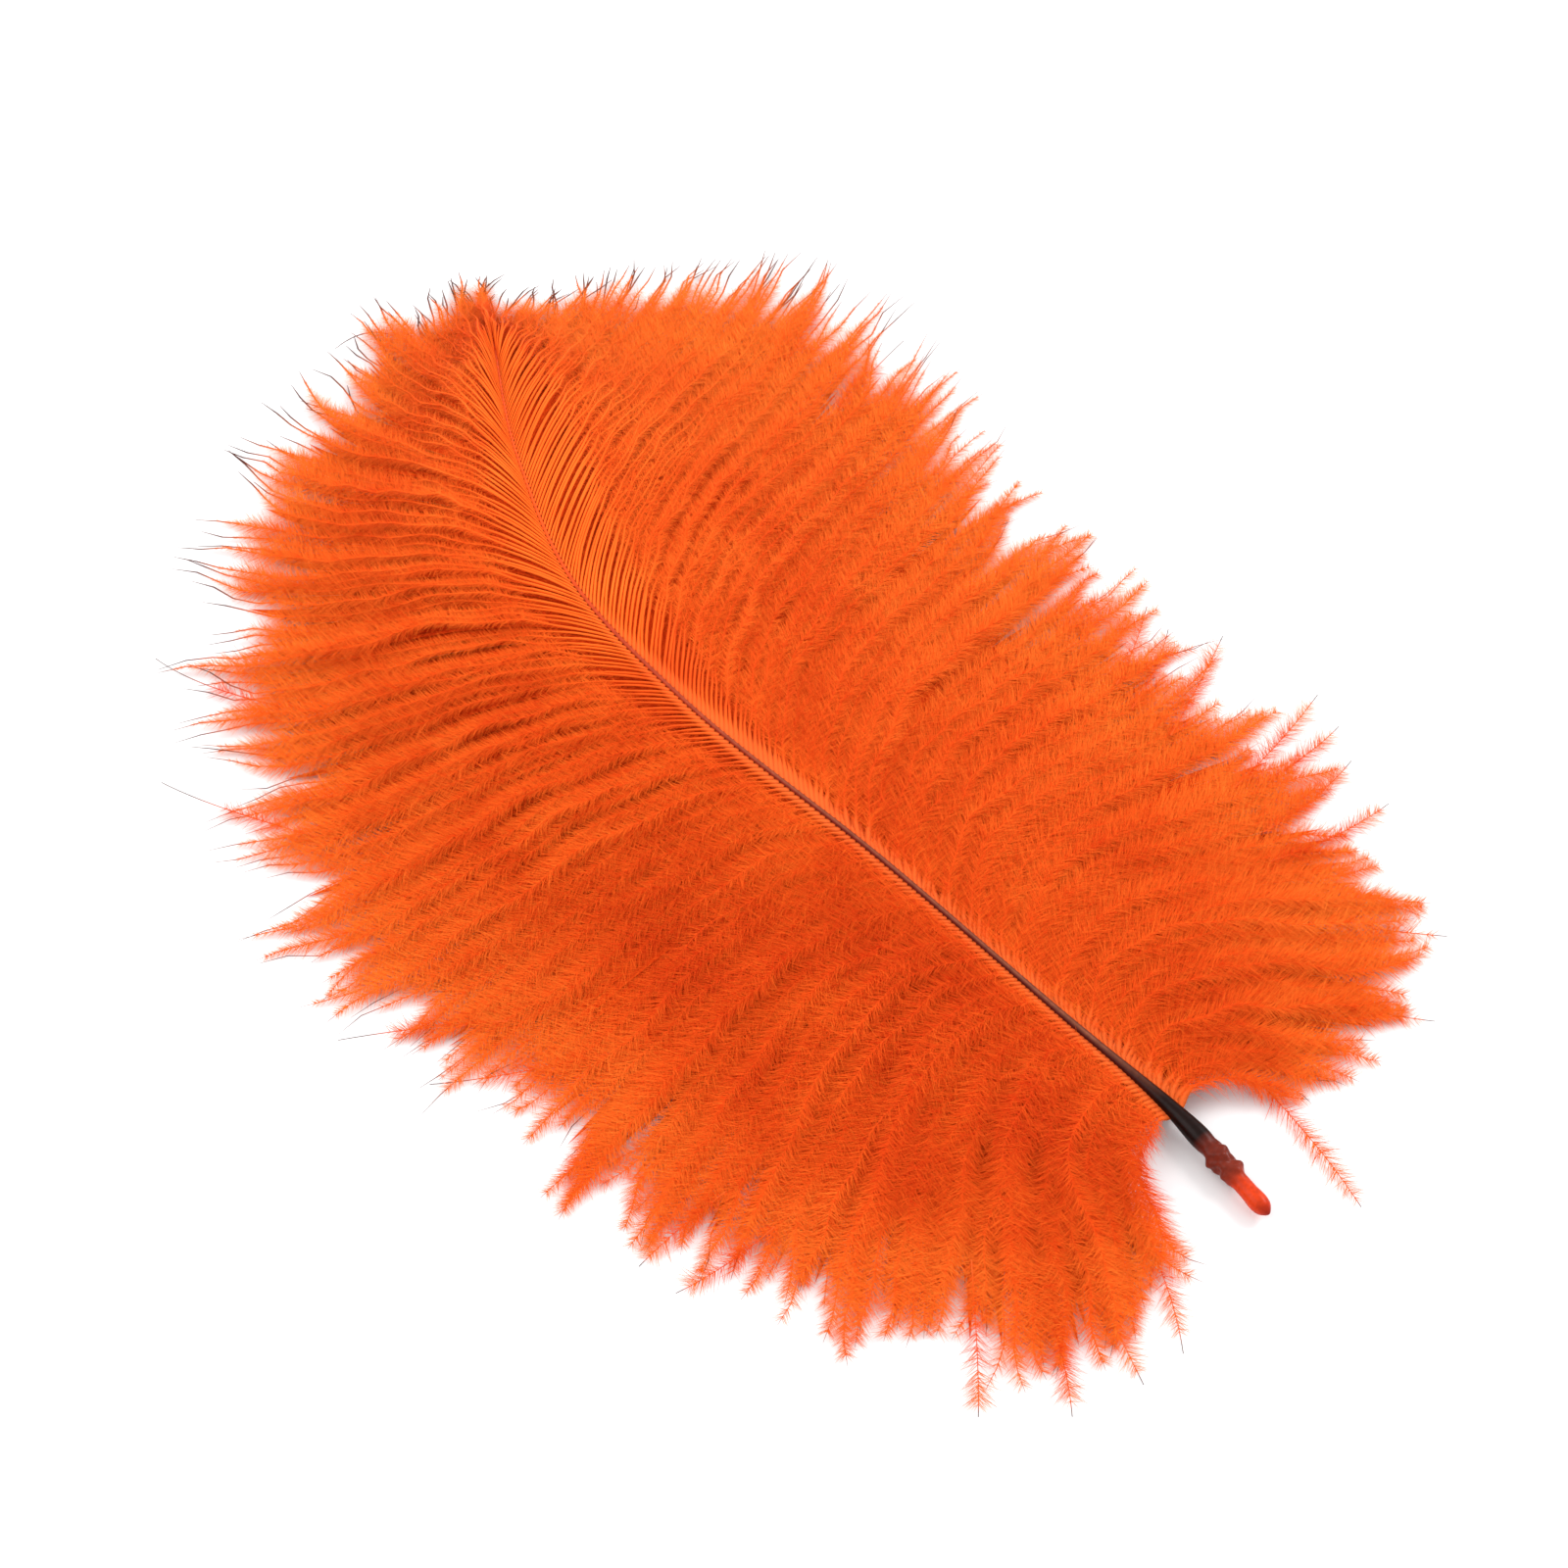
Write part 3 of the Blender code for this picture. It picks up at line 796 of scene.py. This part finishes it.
# Barbules are slender triangles along both edges of a barb, fewer where barbs lie closer than this
# gap in millimetres, and fewer towards the bare end.
BARBULE_SPACING = 0.064 * MM
BARBULE_WIDTH = 0.17 * MM
BARBULES_FULL_GAP = 2.0
BARBULES_LEAST = 0.40
BARBULES_FEWER_AT_END, FEWER_OVER = 0.5, (0.8, 1.0)

# Their length in millimetres on a rib, with what the downy base adds, then what a free barb adds,
# also at the base and in its outer part, and where the gap is wide, by the millimetres that it is
# wider, up to a limit. Towards the barb's end they shorten. All differ by a random factor.
ON_RIB, ON_RIB_DOWNY = 0.7, 0.8
ON_FREE, ON_FREE_DOWNY, ON_FREE_OUTER = 1.9, 1.6, 2.3
ON_WIDE_GAP, WIDE_GAP, WIDER_BY_LIMIT = 0.7, 1.5, 2
ENDING_SHORTER, ENDING_SHORTER_DOWNY = 0.85, 0.35
BARBULE_LENGTHS = (0.6, 1.25)

# The downy base ends over a stretch of the shaft. On a barb, the down comes free from this share
# of the rib on, the outer part begins over these shares of the barb, and the ending over these
# shares of its downy part.
DOWNY_UNTIL = (0.25, 0.65)
FREE_FROM = 0.7
OUTER_OVER = (0.35, 0.6)
ENDING_OVER = (0.84, 1.0)

# Their angles in degrees: from the barb on a rib, where free, at random and at the end, and the
# same out of the barb's level.
SPREAD, SPREAD_FREE, SPREAD_RANDOM, SPREAD_LESS_AT_END = 32, 14, 11, 16
TILT, TILT_FREE, TILT_RANDOM, TILT_RANDOM_FREE = -45, 50, 14, 18
LOWEST_BARBULE = 0.05 * MM
RIGHT_SEED_AFTER = 500

# Their dye on a free barb, how much less it is in the downy base and on a rib as painted shade, how
# much more outwards as a painted glow, from one share of the barb on the right vane and another on
# the left up to a third, what painted light adds on either, and how much single barbules differ.
DYE, PAINTED_SHADE_DOWNY, PAINTED_SHADE_ON_RIB = 0.46, 0.13, 0.32
PAINTED_GLOW_OUTWARD, BRIGHT_FROM_RIGHT, BRIGHT_FROM_LEFT, BRIGHT_TO = 0.40, 0.30, 0.48, 0.85
PAINTED_LIGHT_RIGHT, PAINTED_LIGHT_LEFT = 0.08, 0.07
DYE_SPREAD = 0.13


def barbules(barbs, chosen):
    """Down on both edges of each chosen barb: points, triangles and their values.

    A barbule's base lies along its barb. Its tip is at base + length (cos s along + sin s out),
    where s is its spread and out is turned about the barb by its tilt, above or below level.
    """
    draw = np.random.default_rng(int(chosen[0]) + RIGHT_SEED_AFTER * (barbs["side"] > 0))
    fluffy = barbs["bare_from"][chosen]
    count = (barbs["length"][chosen] * fluffy / BARBULE_SPACING).astype(int)
    total = int(count.sum())
    barb = np.repeat(chosen, count)
    rank = np.arange(total) - np.repeat(np.cumsum(count) - count, count)
    outward = (rank + draw.random(total)) / np.repeat(count / fluffy, count)
    station = outward ** (1 / POINT_CROWDING) * (BARB_POINTS - 1)
    room = barbs["gap"][barb, station.astype(int)] / MM
    ended = smooth_step(outward / barbs["bare_from"][barb], *FEWER_OVER)
    thinned = barbs["dense"] * (1 - BARBULES_FEWER_AT_END * ended)
    thinned *= np.clip(room / BARBULES_FULL_GAP, BARBULES_LEAST, 1.0)
    kept = draw.random(total) < thinned
    barb, outward, room = (np.tile(value[kept], 2) for value in (barb, outward, room))
    hand = np.repeat([1.0, -1.0], kept.sum())
    total = len(barb)

    place = outward ** (1 / POINT_CROWDING) * (BARB_POINTS - 1)
    low = np.minimum(place.astype(int), BARB_POINTS - 2)
    here = barbs["points"][barb, low]
    there = barbs["points"][barb, low + 1]
    root = here + (there - here) * (place - low)[:, None]
    along = there - here
    along /= np.linalg.norm(along, axis=1, keepdims=True)
    across, over = across_of(along)

    share = barbs["share"][barb]
    from_shaft = outward * barbs["length"][barb]
    fluff = smooth_step(from_shaft, FREE_FROM * barbs["ribbed"][barb], barbs["unribbed"][barb])
    downy = 1 - smooth_step(share, *DOWNY_UNTIL)
    ending = smooth_step(outward / barbs["bare_from"][barb], *ENDING_OVER)
    outer = smooth_step(outward, *OUTER_OVER)
    freed = ON_FREE + ON_FREE_DOWNY * downy + ON_FREE_OUTER * outer * (1 - downy)
    length = ON_RIB + ON_RIB_DOWNY * downy + freed * fluff
    length += ON_WIDE_GAP * np.clip(room - WIDE_GAP, 0, WIDER_BY_LIMIT) * outer
    length *= 1 - (ENDING_SHORTER - ENDING_SHORTER_DOWNY * downy) * ending
    length *= MM * draw.uniform(*BARBULE_LENGTHS, total)
    spread = SPREAD + SPREAD_FREE * fluff + draw.normal(0, SPREAD_RANDOM, total)
    spread = np.radians(spread - SPREAD_LESS_AT_END * ending * (1 - downy))
    uneven_tilt = draw.normal(0, 1, total) * (TILT_RANDOM + TILT_RANDOM_FREE * fluff)
    tilt = np.radians(TILT + TILT_FREE * np.maximum(fluff, downy) + uneven_tilt)
    out = np.cos(tilt)[:, None] * across * hand[:, None] + np.sin(tilt)[:, None] * over
    tip = root + length[:, None] * (np.cos(spread)[:, None] * along + np.sin(spread)[:, None] * out)
    half = (BARBULE_WIDTH / 2) * along
    points = np.stack([root - half, root + half, tip], axis=1)
    points[..., 2] = np.maximum(points[..., 2], LOWEST_BARBULE)
    triangles = np.arange(3 * total).reshape(-1, 3)
    triangles[total // 2:] = triangles[total // 2:, ::-1]
    bright_from = BRIGHT_FROM_RIGHT if barbs["side"] > 0 else BRIGHT_FROM_LEFT
    # Painted shade darkens the down in the downy base and on a rib, a painted glow brightens it outwards,
    # and painted light is added on each vane; only the random spread is the dye's own tone.
    dye_and_light = DYE - PAINTED_SHADE_DOWNY * downy - PAINTED_SHADE_ON_RIB * (1 - fluff) * (1 - downy)
    dye_and_light += PAINTED_GLOW_OUTWARD * smooth_step(outward, bright_from, BRIGHT_TO)
    dye_and_light += np.where(barbs["side"] > 0, PAINTED_LIGHT_RIGHT, PAINTED_LIGHT_LEFT * (1 - downy))
    dye_and_light += DYE_SPREAD * draw.normal(0, 1, total)
    none = np.zeros(3 * total)
    values = {"bare": none, "pale": none, "dye_and_light": np.repeat(dye_and_light, 3)}
    return points.reshape(-1, 3), triangles, values


def joined(parts):
    """Several lots of points, triangles and values as one: each lot's corners count on from the last."""
    starts = np.cumsum([0] + [len(part[0]) for part in parts[:-1]])
    points = np.concatenate([part[0] for part in parts])
    triangles = np.concatenate([part[1] + start for part, start in zip(parts, starts)])
    values = {name: np.concatenate([part[2][name].ravel() for part in parts]) for name in parts[0][2]}
    return points, triangles, values


# Vivid orange by the value for dye and painted light and a slow unevenness: painted shade deeper in
# the vane, a painted glow outwards and the dye's random tone. Roots are paler, and bare ends are horn brown.
down = MaterialNodes("dyed_down")
cloud = down.node("ShaderNodeTexNoise", {
    "Vector": down.node("ShaderNodeTexCoord").outputs["Object"], "Scale": 45.0, "Detail": 3.0})
uneven = down.node("ShaderNodeMapRange", {
    "Value": cloud.outputs["Fac"], "From Min": 0.3, "From Max": 0.7, "To Min": -0.15, "To Max": 0.15})
tone_and_light = down.node("ShaderNodeMath", {0: down.attribute("dye_and_light"), 1: uneven.outputs["Result"]}, operation="ADD")
down_colour = down.ramp(tone_and_light.outputs[0], (
    (0.00, (0.74, 0.045, 0.003, 1.0)),
    (0.50, (0.93, 0.130, 0.010, 1.0)),
    (1.00, (1.00, 0.230, 0.025, 1.0)),
))
down_colour = down.mix(down.attribute("pale"), down_colour, (0.80, 0.125, 0.030, 1.0))
down_colour = down.mix(down.attribute("bare"), down_colour, (0.11, 0.035, 0.026, 1.0))
down.link(down_colour, "Base Color")
down.shader.inputs["Roughness"].default_value = 0.85
down.shader.inputs["Specular IOR Level"].default_value = 0.12

ZONES = ("base", "middle", "tip")


def with_barbules(barbs, chosen):
    """The chosen barbs and the down on them as one surface."""
    return joined((barb_hairs(barbs, chosen), barbules(barbs, chosen)))


for vane, keys, side, seed in VANES:
    barbs = lay_barbs(keys, side, seed, LOCK_SEED + (side > 0))
    reached = np.cumsum(barbs["length"]) / barbs["length"].sum()
    for index, zone in enumerate(ZONES):
        inside = (reached > index / len(ZONES)) & (reached <= (index + 1) / len(ZONES) + 1e-9)
        surface = with_barbules(barbs, np.flatnonzero(inside))
        dress(vane, f"{vane}_barbs_{zone}", surface, down.material)


# The loose barbs
# Single barbs that have come out of their locks and end on the ground round the feather, with
# sparser down and a bare end. They grow from both vanes, and make one piece here.

# Where each comes out of the vane, bends and ends, in millimetres from the middle of the feather,
# and how much of its end is bare.
LOOSE_BARBS = (
    ((4, -116), (2, -146), (-6, -166), 0.03),
    ((-36, -128), (-41, -148), (-54, -162), 0.1),
    ((-48, -126), (-58, -148), (-64, -161), 0.1),
    ((-58, -128), (-70, -148), (-78, -156), 0.1),
    ((-68, -122), (-83, -138), (-90, -144), 0.1),
    ((-89, -91), (-101, -90), (-111, -87), 0.1),
    ((-90, -79), (-101, -77), (-112, -78), 0.1),
    ((-84, -40), (-102, -28), (-113, -19), 0.3),
    ((-93, -20), (-105, -7), (-119, 2), 0.3),
    ((-90, 44), (-100, 68), (-103, 81), 0.5),
    ((-70, 74), (-81, 96), (-82, 111), 0.5),
    ((24, 140), (29, 166), (12, 163), 0.4),
    ((22, -125), (30, -138), (39, -150), 0.1),
    ((36, -112), (49, -128), (58, -139), 0.1),
    ((46, -102), (64, -108), (78, -109), 0.1),
    ((51, -96), (68, -98), (82, -96), 0.1),
    ((60, -87), (77, -89), (88, -88), 0.1),
    ((56, -84), (77, -82), (92, -79), 0.1),
    ((58, -65), (78, -58), (91, -53), 0.1),
    ((58, -54), (74, -49), (84, -43), 0.1),
    ((61, -47), (74, -42), (86, -35), 0.1),
    ((84, 80), (103, 88), (117, 92), 0.4),
    ((82, 58), (99, 64), (113, 66), 0.4),
)
LOOSE_DENSITY = 0.8
LOOSE_GAP = 0.2 * MM
AS_AT_BASE = 0.1
LOOSE_LOW, LOOSE_DROP = 0.5, 2.5


def loose_barbs(keys):
    """Barbs along curves a (1 - t)^2 + 2 b t (1 - t) + c t^2, which sink to the ground as (1 - t)^2.

    They are as thin and downy as barbs at the vane's base, and have no rib.
    """
    start, bend, end = (np.array([key[part] for key in keys], float)[:, None] * MM for part in range(3))
    t = OUTWARD[None, :, None]
    plan = start * (1 - t) ** 2 + 2 * bend * t * (1 - t) + end * t**2
    height = np.broadcast_to((LOOSE_LOW + LOOSE_DROP * (1 - OUTWARD) ** 2) * MM, plan.shape[:2])
    length = np.linalg.norm(end - start, axis=2)[:, 0]
    count = len(keys)
    return {"share": np.full(count, AS_AT_BASE), "points": np.dstack([plan, height]), "length": length,
            "gap": np.full((count, BARB_POINTS), LOOSE_GAP), "ribbed": np.full(count, -2 * MM),
            "unribbed": np.full(count, -1 * MM), "bare_from": 1 - np.array([key[3] for key in keys]),
            "side": 0, "dense": LOOSE_DENSITY}


loose = with_barbules(loose_barbs(LOOSE_BARBS), np.arange(len(LOOSE_BARBS)))
dress("right", "loose_barbs", loose, down.material)


# The floor, light and camera
# A plain white surface under soft light from all round, seen from the photograph's angle.
FLOOR_SIZE = 6.0
FLOOR_DROP = 0.0002
bpy.ops.mesh.primitive_plane_add(size=FLOOR_SIZE, location=(0, 0, -FLOOR_DROP))
floor = bpy.context.object
floor.name = "floor"
paper = MaterialNodes("white_paper")
paper.shader.inputs["Base Color"].default_value = (0.93, 0.93, 0.935, 1.0)
paper.shader.inputs["Roughness"].default_value = 0.9
paper.shader.inputs["Specular IOR Level"].default_value = 0.1
floor.data.materials.append(paper.material)

WORLD_STRENGTH = 0.90
world = bpy.data.worlds.new("studio")
bpy.context.scene.world = world
world.use_nodes = True
world.node_tree.nodes["Background"].inputs["Color"].default_value = (1.0, 1.0, 1.0, 1.0)
world.node_tree.nodes["Background"].inputs["Strength"].default_value = WORLD_STRENGTH


def soft_light(name, place, size, power):
    """A square area light that faces the origin."""
    lamp = bpy.data.lights.new(name, "AREA")
    lamp.size = size
    lamp.energy = power
    light = bpy.data.objects.new(name, lamp)
    bpy.context.scene.collection.objects.link(light)
    light.location = place
    towards = -np.array(place) / np.linalg.norm(place)
    light.rotation_euler = Vector(towards).to_track_quat("-Z", "Y").to_euler()
    return light


soft_light("key", place=(1.1, -0.35, 1.0), size=0.7, power=12.5)
soft_light("fill", place=(-0.7, 0.8, 0.9), size=1.2, power=9.0)

CAMERA_ELEVATION = 50.0
CAMERA_TURN = 45.1
CAMERA_DISTANCE = 0.6074
CAMERA_TARGET = (-0.0088, -0.0136, 0.0)
LENS = 65.0
SENSOR_WIDTH = 36.0
NEAREST_SEEN = 0.01
camera_data = bpy.data.cameras.new("photo_view")
camera_data.lens = LENS
camera_data.sensor_width = SENSOR_WIDTH
camera_data.clip_start = NEAREST_SEEN
camera = bpy.data.objects.new("photo_view", camera_data)
bpy.context.scene.collection.objects.link(camera)
rise = math.radians(CAMERA_ELEVATION)
turn = math.radians(CAMERA_TURN)
camera.location = (
    CAMERA_TARGET[0] - CAMERA_DISTANCE * math.cos(rise) * math.sin(turn),
    CAMERA_TARGET[1] - CAMERA_DISTANCE * math.cos(rise) * math.cos(turn),
    CAMERA_TARGET[2] + CAMERA_DISTANCE * math.sin(rise),
)
camera.rotation_euler = (math.pi / 2 - rise, 0.0, -turn)
bpy.context.scene.camera = camera
bpy.context.scene.view_settings.view_transform = "Standard"
